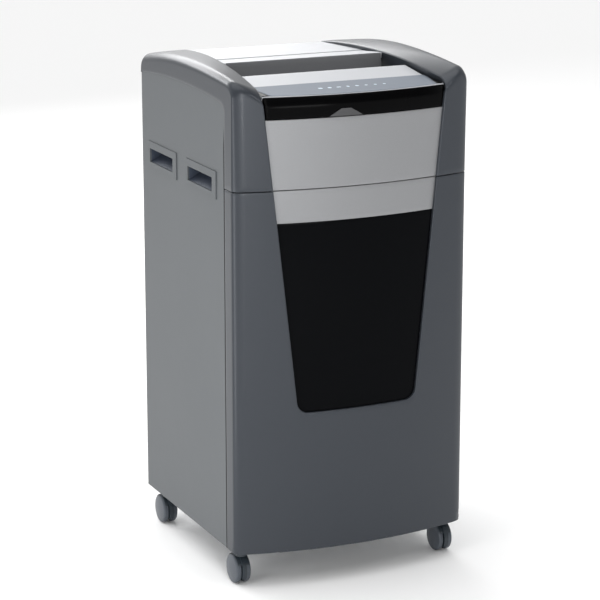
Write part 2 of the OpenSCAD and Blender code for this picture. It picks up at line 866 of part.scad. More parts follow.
// Rod that the lid turns on; its ends sit in the hoods' webs
module lid_hinge() {
    reach = lid_x(lid_hinge_y) + mould_t;
    color(silver) translate([0, lid_hinge_y, lid_hinge_z]) x_rod(rod_r, -reach, reach);
}

// Grey touch strip along the front edge of the lid
module control_strip() {
    color([0.55, 0.58, 0.62]) intersection() {
        along_x(-half_w, half_w) polygon([
            [panel_front(), panel_z], [panel_mid_y, panel_mid_z],
            [panel_mid_y, panel_mid_z + strip_t], [panel_front(), panel_z + strip_t]
        ]);
        lid_well(lid_gap + 9);
        linear_extrude(far) plan(insert_depth + band_t + 0.5);
    }
}

// Row of small symbol lights along the strip
module icon_lights() {
    y = corner_y + 30;
    part = (y - panel_front()) / (panel_mid_y - panel_front());
    z = panel_z + part * (panel_mid_z - panel_z) + strip_t + 0.02;
    tilt = atan2(panel_mid_z - panel_z, panel_mid_y - panel_front());
    color("white") for (i = [0 : 7])
        translate([10 + (i - 3.5) * 20, y, z]) rotate([tilt, 0, 0]) cylinder(r = 3, h = 0.5, $fn = 24);
}

// Black band across the front of the lid, curving back onto its top
module lid_band() {
    color(black) intersection() {
        bowed_sheet(insert_depth - 1, band_t, band_z, panel_z);
        along_y(nose_y, flange_y) polygon([
            [-insert_x(band_z) + lid_gap, band_z], [insert_x(band_z) - lid_gap, band_z],
            [insert_x(panel_z) - lid_gap, panel_z], [-insert_x(panel_z) + lid_gap, panel_z]
        ]);
    }
}

// Raised pad where a finger lifts the lid
module finger_tab() {
    centre_x = -30;
    foot = 36;
    head = 10;
    tab_h = 15;
    color(graphite) intersection() {
        bowed_sheet(insert_depth - 2.5, 1.5, band_z, band_z + tab_h);
        along_y(nose_y, flange_y) polygon([
            [centre_x - foot, band_z], [centre_x + foot, band_z],
            [centre_x + head, band_z + tab_h], [centre_x - head, band_z + tab_h]
        ]);
    }
}

// Dark rear wall of the valley, down to the slit
module slot_throat() {
    rear_slit = slit_y + slit_w / 2;
    color([0.3, 0.3, 0.31]) intersection() {
        along_x(-half_w, half_w) polygon([
            [rear_slit, slit_z - 3], [rear_slit + 3, slit_z - 3],
            [valley_rear + 6, wall_top_z - 8], [valley_rear + 6, wall_top_z], [valley_rear, wall_top_z]
        ]);
        lid_well(lid_gap + 3.2);
    }
}

// Sprung plate that presses the stack onto the rollers
module pressure_plate() {
    color(black) {
        block([-120, roller_y - 130, band_z - 4], [120, roller_y + 26, band_z - 1]);
        for (x = [-70, 60], y = [roller_y - 100, roller_y - 10])
            block([x, y, band_z - 1], [x + 10, y + 10, band_z + 8]);
    }
}

// ---- Bin ----

module bin() {
    color([0.2, 0.21, 0.23]) difference() {
        block([bin_x0, bin_y0, bin_z0], [bin_x1, bin_y1, bin_z1]);
        block([bin_x0 + bin_t, bin_y0 + bin_t, bin_z0 + bin_t], [bin_x1 - bin_t, bin_y1 - bin_t, bin_z1 + cut]);
    }
}

// Bow handle on the front of the bin
module bin_handle() {
    z0 = bin_z1 - 90;
    color(black) difference() {
        block([-80, bin_y0 - 18, z0], [80, bin_y0, z0 + 24]);
        block([-68, bin_y0 - 12, z0 - cut], [68, bin_y0 + cut, z0 + 24 + cut]);
    }
}

// ---- Castors ----

module at_castor(i) {
    x = (i % 2 == 0 ? -1 : 1) * castor_x;
    y = i < 2 ? castor_front_y : castor_rear_y;
    translate([x, y, 0]) children();
}

module castor_plates() {
    color(silver) for (i = [0 : 3]) at_castor(i) difference() {
        translate([-20, -20, base_z - plate_t]) cube([40, 40, plate_t]);
        translate([0, 0, base_z - plate_t - cut]) cylinder(r = stem_r + run_gap, h = plate_t + 2 * cut);
    }
}

// Swivel head: stem, dome between the wheels and the axle hole
module castor_fork(i) {
    web = wheel_pair_w / 2 - wheel_t - 0.5;
    neck_z = base_z - plate_t - 0.4;
    neck_h = neck_z - wheel_dia - 1.5;
    color(black) at_castor(i) difference() {
        union() {
            translate([0, 0, neck_z - neck_h]) cylinder(r = stem_r, h = neck_h + plate_t);
            translate([0, 0, neck_z - neck_h]) cylinder(r = 12, h = neck_h);
            intersection() {
                translate([0, trail, wheel_r]) x_rod(wheel_r + 4, -web, web);
                block([-web, -30, 14], [web, 60, neck_z]);
            }
        }
        translate([0, trail, wheel_r]) x_rod(axle_r + run_gap, -far, far);
    }
}

// Two domed wheels on one axle
module castor_wheels(i) {
    color([0.42, 0.45, 0.48]) at_castor(i) translate([0, trail, wheel_r]) {
        x_rod(axle_r, -wheel_pair_w / 2 + 2, wheel_pair_w / 2 - 2);
        for (s = [0, 1]) mirror([s, 0, 0]) rotate([0, 90, 0]) rotate_extrude() polygon([
            [0, wheel_pair_w / 2 - wheel_t], [wheel_r - 1, wheel_pair_w / 2 - wheel_t],
            [wheel_r, wheel_pair_w / 2 - wheel_t + 1], [wheel_r, wheel_pair_w / 2 - 4],
            [wheel_r - 3, wheel_pair_w / 2 - 1], [wheel_r - 9, wheel_pair_w / 2], [0, wheel_pair_w / 2]
        ]);
    }
}

module castor_fork_fl() castor_fork(0);
module castor_fork_fr() castor_fork(1);
module castor_fork_rl() castor_fork(2);
module castor_fork_rr() castor_fork(3);
module castor_wheels_fl() castor_wheels(0);
module castor_wheels_fr() castor_wheels(1);
module castor_wheels_rl() castor_wheels(2);
module castor_wheels_rr() castor_wheels(3);

// Screws along the sides of the rear panel, flush with it
function screw_z() = [for (i = [0 : 3]) base_z + 30 + i * (total_h - skirt_h - base_z - 60) / 3];
module panel_screws() {
    color(silver) for (s = [-1, 1], z = screw_z())
        translate([s * (skin_x - 12), inner_y, z]) rotate([-90, 0, 0]) cylinder(r = screw_r, h = panel_t, $fn = 32);
}

side_panel_left();
side_panel_right();
rear_panel();
base_tray();
bin_rails();
head_chassis();
hood_left();
hood_right();
head_fascia();
grips_left();
grips_right();
rear_cover();
feed_tray();
shred_chute();
cutter_frames();
tie_bars();
stripper_combs();
shaft_bearings();
motor();
motor_bracket();
gear_cover();
circuit_boards();
power_inlet();
hinge_brackets();
door_magnet();
interlock_switch();
panel_screws();
castor_plates();
lid_hinge();
door_shell();
door_liner();
door_strip();
door_window();
door_catch();
lid_shell();
control_strip();
icon_lights();
lid_band();
finger_tab();
slot_throat();
pressure_plate();
bin();
bin_handle();
cutter_front();
cutter_rear();
sync_gear_front();
sync_gear_rear();
motor_pinion();
feed_roller();
feed_gear();
rocker_switch();
castor_fork_fl();
castor_fork_fr();
castor_fork_rl();
castor_fork_rr();
castor_wheels_fl();
castor_wheels_fr();
castor_wheels_rl();
castor_wheels_rr();
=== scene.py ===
import math

import bmesh
import bpy
import numpy as np
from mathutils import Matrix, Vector


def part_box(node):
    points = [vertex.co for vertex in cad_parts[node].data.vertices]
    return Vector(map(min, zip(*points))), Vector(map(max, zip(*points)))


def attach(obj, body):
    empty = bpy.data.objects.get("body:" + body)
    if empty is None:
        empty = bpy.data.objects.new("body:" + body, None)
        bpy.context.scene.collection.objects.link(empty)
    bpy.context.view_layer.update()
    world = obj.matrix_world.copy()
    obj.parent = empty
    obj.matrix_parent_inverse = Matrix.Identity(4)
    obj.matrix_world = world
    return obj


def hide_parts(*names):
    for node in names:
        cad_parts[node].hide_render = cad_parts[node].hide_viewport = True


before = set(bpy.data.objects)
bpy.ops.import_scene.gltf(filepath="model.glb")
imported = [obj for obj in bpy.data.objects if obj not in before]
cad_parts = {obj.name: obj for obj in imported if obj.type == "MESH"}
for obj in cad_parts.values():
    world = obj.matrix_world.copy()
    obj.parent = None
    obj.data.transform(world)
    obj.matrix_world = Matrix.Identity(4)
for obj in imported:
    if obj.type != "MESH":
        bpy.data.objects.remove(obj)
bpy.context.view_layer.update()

# ---- Side and rear panels ----
# Folded steel sheet with a satin powder coat, screwed to the base tray and the head.
# The coat is a fine orange peel over a nearly even grey.


def linear(r, g, b):
    """Linear colour from screen values 0 to 255: the screen's gamma undone."""
    return tuple(((c / 255 + 0.055) / 1.055) ** 2.4 for c in (r, g, b)) + (1,)


class Nodes:
    """Short calls to add and join the nodes of one tree."""

    def __init__(self, tree):
        self.tree = tree

    def add(self, kind, inputs=None, **settings):
        node = self.tree.nodes.new(kind)
        for key, value in settings.items():
            setattr(node, key, value)
        for key, value in (inputs or {}).items():
            self.put(node, key, value)
        return node

    def put(self, node, key, value):
        if isinstance(value, bpy.types.NodeSocket):
            self.tree.links.new(value, node.inputs[key])
        else:
            node.inputs[key].default_value = value

    def ramp(self, value, stops):
        """A colour ramp from (position, grey) stops."""
        node = self.add("ShaderNodeValToRGB", {"Fac": value})
        elements = node.color_ramp.elements
        while len(elements) < len(stops):
            elements.new(0.5)
        for element, (place, grey) in zip(elements, stops):
            element.position = place
            element.color = (grey, grey, grey, 1)
        return node.outputs["Color"]


def make_group(name, inputs, outputs, build):
    """A node group with named float inputs and named outputs, filled by build(nodes, given, leave)."""
    tree = bpy.data.node_groups.new(name, "ShaderNodeTree")
    for label, value in inputs:
        socket = tree.interface.new_socket(label, in_out="INPUT", socket_type="NodeSocketFloat")
        socket.default_value = value
    for label, kind in outputs:
        tree.interface.new_socket(label, in_out="OUTPUT", socket_type="NodeSocket" + kind)
    nodes = Nodes(tree)
    given = nodes.add("NodeGroupInput").outputs
    build(nodes, given, nodes.add("NodeGroupOutput"))
    return tree


def build_grain(nodes, given, leave):
    """Fine grain as a normal, a slow wander of tone, and the sparkle of metal flakes."""
    place = nodes.add("ShaderNodeTexCoord").outputs["Object"]
    grain = nodes.add("ShaderNodeTexNoise", {"Vector": place, "Scale": given["Scale"], "Detail": 3.0})
    wander = nodes.add("ShaderNodeTexNoise", {"Vector": place, "Scale": 3.5, "Detail": 3.0})
    flakes = nodes.add("ShaderNodeTexVoronoi", {"Vector": place, "Scale": 2600.0})
    height = nodes.add("ShaderNodeMath", {0: grain.outputs["Fac"], 1: given["Height"]},
                       operation="MULTIPLY")
    bump = nodes.add("ShaderNodeBump", {"Height": height.outputs[0], "Strength": 0.3, "Distance": 0.0004})
    nodes.put(leave, "Wander", nodes.ramp(wander.outputs["Fac"], [(0.25, 0), (0.75, 1)]))
    nodes.put(leave, "Flakes", flakes.outputs["Color"])
    nodes.put(leave, "Normal", bump.outputs["Normal"])


def build_wear(nodes, given, leave):
    """A mask along exposed edges, broken up by noise, and dust on what faces up."""
    geometry = nodes.add("ShaderNodeNewGeometry")
    place = nodes.add("ShaderNodeTexCoord").outputs["Object"]
    edge = nodes.ramp(geometry.outputs["Pointiness"], [(0.52, 0), (0.6, 1)])
    patches = nodes.add("ShaderNodeTexNoise", {"Vector": place, "Scale": 45.0, "Detail": 5.0})
    worn = nodes.ramp(patches.outputs["Fac"], [(0.45, 0), (0.65, 1)])
    mask = nodes.add("ShaderNodeMath", {0: edge, 1: worn}, operation="MULTIPLY")
    mask = nodes.add("ShaderNodeMath", {0: mask.outputs[0], 1: given["Amount"]}, operation="MULTIPLY")
    nodes.put(leave, "Edge", mask.outputs[0])
    up = nodes.add("ShaderNodeSeparateXYZ", {"Vector": geometry.outputs["Normal"]}).outputs["Z"]
    specks = nodes.add("ShaderNodeTexNoise", {"Vector": place, "Scale": 160.0, "Detail": 6.0})
    dust = nodes.add("ShaderNodeMath", {0: nodes.ramp(up, [(0.5, 0), (1.0, 1)]), 1: specks.outputs["Fac"]},
                     operation="MULTIPLY")
    nodes.put(leave, "Dust", dust.outputs[0])


grain_group = make_group("surface_grain", [("Scale", 900.0), ("Height", 0.5)],
                         [("Wander", "Color"), ("Flakes", "Color"), ("Normal", "Vector")], build_grain)
wear_group = make_group("edge_wear", [("Amount", 0.5)], [("Edge", "Float"), ("Dust", "Float")], build_wear)


def finish_of(name, colour, rough, metallic=0.0, grain=900.0, height=0.5, wander=0.01, flakes=0.0,
              wear=0.03, coat=0.0, specular=0.5):
    """A finish: its colour wandered a little, metal flakes, lighter worn edges, grain in the
    normal, and a roughness that follows the wander and the dust."""
    material = bpy.data.materials.new(name)
    material.use_nodes = True
    nodes = Nodes(material.node_tree)
    shader = material.node_tree.nodes["Principled BSDF"]
    grained = nodes.add("ShaderNodeGroup", node_tree=grain_group)
    grained.inputs["Scale"].default_value = grain
    grained.inputs["Height"].default_value = height
    worn = nodes.add("ShaderNodeGroup", node_tree=wear_group)
    worn.inputs["Amount"].default_value = wear
    tone = nodes.add("ShaderNodeMapRange", {
        "Value": grained.outputs["Wander"], "To Min": 1 - wander, "To Max": 1 + wander})
    spark = nodes.add("ShaderNodeSeparateColor", {"Color": grained.outputs["Flakes"]})
    spark = nodes.add("ShaderNodeMapRange", {
        "Value": spark.outputs["Red"], "To Min": 1 - flakes, "To Max": 1 + flakes})
    factor = nodes.add("ShaderNodeMath", {0: tone.outputs[0], 1: spark.outputs[0]}, operation="MULTIPLY")
    base = nodes.add("ShaderNodeVectorMath", {0: colour[:3], "Scale": factor.outputs[0]}, operation="SCALE")
    mixed = nodes.add("ShaderNodeMix", {"Factor": worn.outputs["Edge"]}, data_type="RGBA")
    nodes.put(mixed, 6, base.outputs[0])
    mixed.inputs[7].default_value = [min(1, c * 1.5 + 0.02) for c in colour[:3]] + [1]
    nodes.put(shader, "Base Color", mixed.outputs[2])
    spread = nodes.add("ShaderNodeMapRange", {
        "Value": grained.outputs["Wander"], "To Min": rough * 0.96, "To Max": min(1, rough * 1.04)})
    dusty = nodes.add("ShaderNodeMath", {0: worn.outputs["Dust"], 1: 0.03}, operation="MULTIPLY")
    total = nodes.add("ShaderNodeMath", {0: spread.outputs[0], 1: dusty.outputs[0]}, operation="ADD")
    nodes.put(shader, "Roughness", total.outputs[0])
    nodes.put(shader, "Normal", grained.outputs["Normal"])
    shader.inputs["Metallic"].default_value = metallic
    shader.inputs["Coat Weight"].default_value = coat
    shader.inputs["Coat Roughness"].default_value = 0.12
    shader.inputs["Specular IOR Level"].default_value = specular
    return material


def dress(material, *nodes, edge=0.0):
    """Gives CAD nodes a finish, and rounds their sharp edges by a bevel."""
    for node in nodes:
        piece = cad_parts[node]
        piece.data.materials.clear()
        piece.data.materials.append(material)
        if edge:
            rounding = piece.modifiers.new("rounding", "BEVEL")
            rounding.width = edge
            rounding.segments = 2
            rounding.limit_method = "ANGLE"
            rounding.angle_limit = math.radians(40)


powder_coat = finish_of("powder_coat", linear(84, 88, 91), 0.5, grain=1500.0, height=0.3)
dress(powder_coat, "side_panel_left", "side_panel_right", "rear_panel")

# ---- Base tray, brackets and screws ----
# Zinc-plated pressings that carry the castors, the bin's rails and the hinges, and the screws
# that hold the panels. The CAD bodies are kept and dressed in brushed zinc.

zinc_plate = finish_of("zinc_plate", linear(178, 180, 182), 0.34, metallic=0.9, grain=500.0, height=0.4,
                       wander=0.08)
dress(zinc_plate, "base_tray", "bin_rails", "castor_plates", "hinge_brackets", "tie_bars",
      "lid_hinge", "cutter_frames", "door_magnet", "panel_screws", "motor_bracket", "shaft_bearings")

# ---- Bin ----
# A moulded open box in dark grey that slides on the rails, with a bow handle in front. The CAD
# bodies are kept, with a coarse moulding grain.

bin_plastic = finish_of("bin_plastic", linear(58, 60, 64), 0.55, height=0.7)
dress(bin_plastic, "bin", "bin_handle")

# ---- Cutting unit, motor and boards ----
# Hardened disc shafts between two frames, driven by a geared motor, under a moulded feed tray.
# They are only seen with the lid or the door open, so the CAD bodies are kept and dressed.

cutter_steel = finish_of("cutter_steel", linear(165, 166, 168), 0.24, metallic=1.0, grain=700.0,
                         wander=0.08)
motor_paint = finish_of("motor_paint", linear(70, 71, 73), 0.4)
dark_plastic = finish_of("dark_plastic", linear(38, 38, 40), 0.5)
roller_rubber = finish_of("roller_rubber", linear(42, 42, 43), 0.75, grain=600.0, height=0.9)
board_green = finish_of("board_green", linear(26, 88, 52), 0.4)
dress(cutter_steel, "cutter_front", "cutter_rear", "sync_gear_front", "sync_gear_rear", "motor_pinion")
dress(motor_paint, "motor")
dress(dark_plastic, "gear_cover", "shred_chute", "stripper_combs", "feed_tray", "head_chassis",
      "power_inlet", "interlock_switch", "rocker_switch", "door_catch", "pressure_plate", "door_liner",
      "feed_gear")
dress(roller_rubber, "feed_roller")
dress(board_green, "circuit_boards")

# ---- Hoods ----
# The head's two side mouldings in dark grey plastic with a fine metallic flake. Each runs up the
# front corner and back along the top, wraps over the steel panel and ends in a web beside the lid.

HOOD_LOW, HOOD_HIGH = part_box("hood_right")
DOOR_LOW, DOOR_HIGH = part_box("door_shell")
HALF_W = DOOR_HIGH[0]
NOSE_Y = DOOR_LOW[1]
FLANGE_Y = DOOR_HIGH[1]
BASE_Z = DOOR_LOW[2]
DOOR_TOP = DOOR_HIGH[2]
SEAM_Z = HOOD_LOW[2]
TOP_Z = HOOD_HIGH[2]
REAR_Y = HOOD_HIGH[1]

# Plan of the front: one bowed arc between two round corners
BOW = 0.032
CORNER_R = 0.022
CHORD = HALF_W - CORNER_R
BOW_R = (CHORD ** 2 + BOW ** 2) / (2 * BOW)
CORNER_Y = NOSE_Y + BOW
ROUND_FRONT = 0.025
ROUND_SIDE = 0.009
CREASE = 0.0016
CORNER_TURN = math.asin((HALF_W - ROUND_FRONT) / BOW_R)

# The front insert leans outwards towards its top
INSERT_HALF_W = 0.180
INSERT_LEAN = 0.108
INSERT_DEPTH = 0.0055

# Side view of a hood: its ridge, its edge beside the lid and its skirt are long arcs, each as the
# depth and height of its apex and its radius before and behind
RIDGE = (0.020, TOP_Z, 2.70, 1.25)
LID_EDGE = (0.070, TOP_Z - 0.0085, 1.82, 1.70)
SKIRT = (0.047, 1.002, 2.10, 2.10)
RIDGE_R = 0.031
LID_EDGE_R = 0.031
SKIRT_R = 0.022
REAR_R = 0.011
TOP_ROUND = (0.020, 0.019)
TOP_CROWN = 0.0022
REAR_DROP = 0.0105
WEB = 0.058
HEEL_WEB = 0.020
HOOD_T = 0.0009
SHELL_T = 0.0022

# The opening between the hoods narrows towards the rear
HOOD_W = 0.057
HOOD_FLARE = 0.09

# Rows of points up a hood's leg, round its knee and its heel, along its top and down its rear
LEG_ROWS = 15
KNEE_ROWS = 14
TOP_ROWS = 60
DROP_ROWS = 6


def insert_x(z):
    """Half width of the front insert at a height: a straight line in z."""
    return INSERT_HALF_W + INSERT_LEAN * (z - SEAM_Z)


def lid_x(y):
    """Half width of the opening between the hoods at a depth: a straight line in y."""
    return HALF_W - HOOD_W - HOOD_FLARE * (y - CORNER_Y)


def bow_y(x):
    """Front of the plan's bow at x: NOSE_Y + R - sqrt(R^2 - x^2)."""
    return NOSE_Y + BOW_R - np.sqrt(BOW_R ** 2 - np.asarray(x) ** 2)


def arch(y, shape):
    """Height of a flat arch at y: top - (y - apex)^2 / (2 R), with R other before and behind."""
    apex, top, front_r, rear_r = shape
    y = np.asarray(y, float)
    return top - (y - apex) ** 2 / (2 * np.where(y < apex, front_r, rear_r))


def grid_faces(rows, columns):
    """Quads between neighbouring points of a grid."""
    index = np.arange(rows * columns).reshape(rows, columns)
    corners = [index[:-1, :-1], index[1:, :-1], index[1:, 1:], index[:-1, 1:]]
    return np.stack(corners, axis=-1).reshape(-1, 4)


def grid_normals(grid):
    """Unit normals of a grid of points: cross product of its two directions of travel."""
    normals = np.cross(np.gradient(grid, axis=0), np.gradient(grid, axis=1))
    length = np.linalg.norm(normals, axis=-1, keepdims=True)
    return normals / np.maximum(length, 1e-12)


def add_piece(name, points, faces, material, body, sharp=40):
    """A mesh from points and faces, smooth but for edges over a sharp angle, on a CAD body."""
    mesh = bpy.data.meshes.new(name)
    mesh.from_pydata(np.reshape(points, (-1, 3)).tolist(), [], np.asarray(faces).tolist())
    mesh.update()
    mesh.shade_smooth()
    mesh.set_sharp_from_angle(angle=math.radians(sharp))
    mesh.materials.append(material)
    piece = bpy.data.objects.new(name, mesh)
    bpy.context.scene.collection.objects.link(piece)
    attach(piece, body)
    return piece


def add_sheet(name, grid, outward, material, body, thickness=SHELL_T, sharp=40):
    """A grid of points with its faces towards a direction, and a wall on its inner side."""
    faces = grid_faces(*grid.shape[:2])
    if np.sum(grid_normals(grid) @ np.asarray(outward, float)) < 0:
        faces = faces[:, ::-1]
    piece = add_piece(name, grid, faces, material, body, sharp)
    wall = piece.modifiers.new("wall", "SOLIDIFY")
    wall.thickness = thickness
    wall.offset = -1
    return piece


def rolled(grid, side, radius, reach, outward, steps=3):
    """Turns one border of a grid inwards: a quarter round, then straight in by reach. Each point
    moves by radius * sin(a) along the surface and radius * (1 - cos(a)) against its normal."""
    if side in ("left", "right"):
        turned = rolled(np.swapaxes(grid, 0, 1), {"left": "top", "right": "foot"}[side], radius, reach,
                        outward, steps)
        return np.swapaxes(turned, 0, 1)
    flipped = grid[::-1] if side == "top" else grid
    normals = grid_normals(flipped)
    if np.sum(normals @ np.asarray(outward, float)) < 0:
        normals = -normals
    normal = normals[-1]
    onward = flipped[-1] - flipped[-2]
    onward -= np.sum(onward * normal, axis=-1, keepdims=True) * normal
    onward /= np.linalg.norm(onward, axis=-1, keepdims=True)
    start = flipped[-1] - radius * onward
    turns = np.linspace(0, math.pi / 2, steps + 1)
    rows = [start + radius * (math.sin(a) * onward - (1 - math.cos(a)) * normal) for a in turns]
    rows.append(rows[-1] - np.reshape(reach, (-1, 1)) * normal)
    flipped = np.concatenate([flipped[:-1], np.array(rows)])
    return flipped[::-1] if side == "top" else flipped


def bent_rail(leg, knee_r, top, heel, drop):
    """Side view of one rail of a hood as (y, z) rows, all rails with the same number of points:
    up the leg, round the front knee, along an arch and round the rear corner."""
    leg_y, leg_low = leg
    start_y = leg_y + knee_r
    start_z = float(arch(start_y, top))
    leg_z = np.linspace(leg_low, start_z - knee_r, LEG_ROWS)
    turns = np.linspace(0, math.pi / 2, KNEE_ROWS + 1)[1:]
    knee_y = start_y - knee_r * np.cos(turns)
    slope = (start_y - knee_y) * (float(arch(start_y, top)) - float(arch(leg_y, top))) / knee_r
    knee_z = start_z - knee_r + knee_r * np.sin(turns) - slope * np.sin(turns)
    end_y, heel_r = heel
    heel_fall = 0.12
    top_y = np.linspace(start_y, end_y - heel_r, TOP_ROWS + 1)[1:]
    top_z = arch(top_y, top)
    heel_y = end_y - heel_r + heel_r * np.sin(turns)
    heel_z = (arch(end_y - heel_r, top) - heel_r * (1 - np.cos(turns))
              - (heel_y - end_y + heel_r) * heel_fall)
    drop_z = np.linspace(heel_z[-1], drop, DROP_ROWS + 1)[1:]
    rail_y = np.concatenate([np.full(LEG_ROWS, leg_y), knee_y, top_y, heel_y, np.full(DROP_ROWS, end_y)])
    rail_z = np.concatenate([leg_z, knee_z, top_z, heel_z, drop_z])
    return np.column_stack([rail_y, rail_z])


def unit(vectors):
    """Vectors of length 1."""
    return vectors / np.maximum(np.linalg.norm(vectors, axis=-1, keepdims=True), 1e-9)


def round_corner(start, corner, end, steps):
    """Points of a conic round from start to end, tangent to the lines to the corner. The middle
    weight is the sine of half the corner's angle, which makes it an arc if the sides are equal."""
    cosine = np.sum(unit(start - corner) * unit(end - corner), axis=-1, keepdims=True)
    weight = np.sqrt((1 - cosine) / 2)
    points = []
    for part in np.linspace(0, 1, steps + 1):
        low, mid, high = (1 - part) ** 2, 2 * part * (1 - part) * weight, part ** 2
        points.append((low * start + mid * corner + high * end) / (low + mid + high))
    return points


def ease(value, start, end):
    """0 before start, 1 after end, and 3p^2 - 2p^3 between."""
    part = np.clip((value - start) / (end - start), 0, 1)
    return part * part * (3 - 2 * part)


def hood_grid():
    """The right hood as sections carried along three rails, the skirt's edge, the ridge and the
    lid's edge: flat to a crease, round the ridge, and across on a shallow curve."""
    tangent_x = HALF_W - ROUND_FRONT
    ridge_y = float(bow_y(tangent_x)) + ROUND_FRONT * math.tan(CORNER_TURN)
    knee_z, lean_end = 0.99, 1.01
    edge_front = float(bow_y(insert_x(knee_z)))
    rear_floor = SKIRT[1] - REAR_DROP
    skirt = bent_rail((FLANGE_Y, SEAM_Z), SKIRT_R, SKIRT, (REAR_Y, 0.001), rear_floor - 0.001)
    ridge = bent_rail((ridge_y, SEAM_Z), RIDGE_R, RIDGE, (REAR_Y, REAR_R), rear_floor)
    edge = bent_rail((edge_front, SEAM_Z), LID_EDGE_R, LID_EDGE, (REAR_Y, REAR_R), rear_floor)
    count = len(ridge)
    station = np.arange(count)
    knee_end = LEG_ROWS + KNEE_ROWS + 1
    leg_part = ease(station, knee_end, LEG_ROWS - 1)
    on_leg = leg_part[:, None]
    edge_x = leg_part * insert_x(np.minimum(edge[:, 1], lean_end)) + (1 - leg_part) * lid_x(edge[:, 0])
    edge_y = np.where(station < LEG_ROWS, bow_y(insert_x(edge[:, 1])), edge[:, 0])
    a = np.column_stack([np.full(count, HALF_W), skirt])
    v = np.column_stack([np.full(count, HALF_W), ridge])
    c = np.column_stack([edge_x, edge_y, edge[:, 1]])
    travel = unit(np.gradient(ridge, axis=0))
    out = np.column_stack([np.zeros(count), -travel[:, 1], travel[:, 0]])
    # Control point of the face: on the leg where the bow's end tangents meet
    end_turn = np.arcsin(np.minimum(edge_x, tangent_x) / BOW_R)
    turn, spread = (CORNER_TURN + end_turn) / 2, (CORNER_TURN - end_turn) / 2
    leg_k = np.column_stack([BOW_R * np.sin(turn) / np.cos(spread),
                             NOSE_Y + BOW_R - BOW_R * np.cos(turn) / np.cos(spread),
                             (v[:, 2] + c[:, 2]) / 2])
    k = on_leg * leg_k + (1 - on_leg) * ((v + c) / 2 + TOP_CROWN * out)
    side_reach = on_leg * ROUND_SIDE + (1 - on_leg) * TOP_ROUND[0]
    front_reach = on_leg * ROUND_FRONT / math.cos(CORNER_TURN) + (1 - on_leg) * TOP_ROUND[1]
    side_reach = np.minimum(side_reach, 0.9 * np.linalg.norm(a - v, axis=1, keepdims=True))
    p0 = v + side_reach * unit(a - v)
    p2 = v + front_reach * unit(k - v)
    control = v + CREASE * on_leg * unit(k - v)
    columns = [a + part * (p0 - a) for part in (0, 0.2, 0.5, 0.8, 0.97)]
    columns += round_corner(p0, control, p2, 22)
    columns += [(1 - part) ** 2 * p2 + 2 * part * (1 - part) * k + part ** 2 * c
                for part in np.linspace(0, 1, 15)[1:]]
    return np.stack(columns, axis=1)


hood_plastic = finish_of("hood_plastic", linear(55, 59, 65), 0.33, metallic=0.2, flakes=0.1,
                         coat=0.05, specular=0.32, wear=0.2, grain=1300.0, height=0.25)
right_grid = hood_grid()
up_right = (0.4, -0.5, 1)
right_grid = rolled(right_grid, "right", 0.0028, INSERT_DEPTH, up_right)
# The web beside the lid grows from the knee's middle row and is shallow again near the heel
WEB_FROM, WEB_FULL, WEB_LAST = 22, 38, len(right_grid) - 26
row = np.arange(len(right_grid))
web_depth = np.clip((row - WEB_FROM) / (WEB_FULL - WEB_FROM), 0, 1) * WEB
web_depth = np.where(row > WEB_LAST, HEEL_WEB, web_depth)
web = right_grid[:, -1:] - np.array([0, 0, 1]) * web_depth[:, None, None]
right_grid = np.concatenate([right_grid, web], axis=1)
right_grid = rolled(right_grid, "left", 0.0010, 0.0010, up_right)
right_grid = rolled(right_grid, "top", 0.0012, 0.006, (0.6, -1, 0.2))
for side, mirror in (("right", 1), ("left", -1)):
    hood = add_sheet("hood_shell_" + side, right_grid * [mirror, 1, 1], (mirror * 0.4, -0.5, 1),
                     hood_plastic, "cabinet", HOOD_T)
    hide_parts("hood_" + side)

# ---- Door skin ----
# One moulding of the same plastic with the insert's opening, hinged on the left. It is a grid of
# rings laid on the plan's outline, with a finger scoop in its free edge.


def side_of(x):
    """Distance along the plan's outline from the middle to where it passes x: R asin(x / R)."""
    return BOW_R * np.arcsin(np.asarray(x) / BOW_R)


S_BOW = BOW_R * CORNER_TURN
BOW_STEPS = 600
ROUND_STEPS = 80
SIDE_STEPS = 60
SCOOP_Z = (0.688, 0.810)
SCOOP_DEPTH = 0.006
INSERT_FOOT = BASE_Z + 0.291
INSERT_R = 0.025


def plan_outline():
    """Right half of the front's plan as rows (s, x, y, normal x, normal y): the bow's arc, the
    round corner up to the crease, and the straight side; s is the distance along it."""
    turns = np.linspace(0, CORNER_TURN, BOW_STEPS + 1)
    bow = np.column_stack([BOW_R * np.sin(turns), NOSE_Y + BOW_R - BOW_R * np.cos(turns)])
    ridge = np.array([HALF_W, bow[-1, 1] + ROUND_FRONT * math.tan(CORNER_TURN)])
    crease = ridge + [0, ROUND_SIDE]
    control = ridge + CREASE * unit(bow[-1] - ridge)
    corner = np.array(round_corner(crease, control, bow[-1], ROUND_STEPS))[::-1]
    side_y = np.linspace(crease[1], FLANGE_Y + 0.01, SIDE_STEPS + 1)[1:]
    side = np.column_stack([np.full(SIDE_STEPS, HALF_W), side_y])
    points = np.vstack([bow, corner[1:], side])
    travel = unit(np.gradient(points, axis=0))
    length = np.concatenate([[0], np.cumsum(np.linalg.norm(np.diff(points, axis=0), axis=1))])
    return np.column_stack([length, points, travel[:, 1], -travel[:, 0]])


OUTLINE = plan_outline()
S_CREASE = float(OUTLINE[BOW_STEPS + ROUND_STEPS, 0])
S_EDGE = S_CREASE + FLANGE_Y - float(OUTLINE[BOW_STEPS + ROUND_STEPS, 2])

# Points of half an outline down its side, round its lower corner and along its foot
OUTLINE_SIDE = 120
OUTLINE_ARC = 10
OUTLINE_FOOT = 30


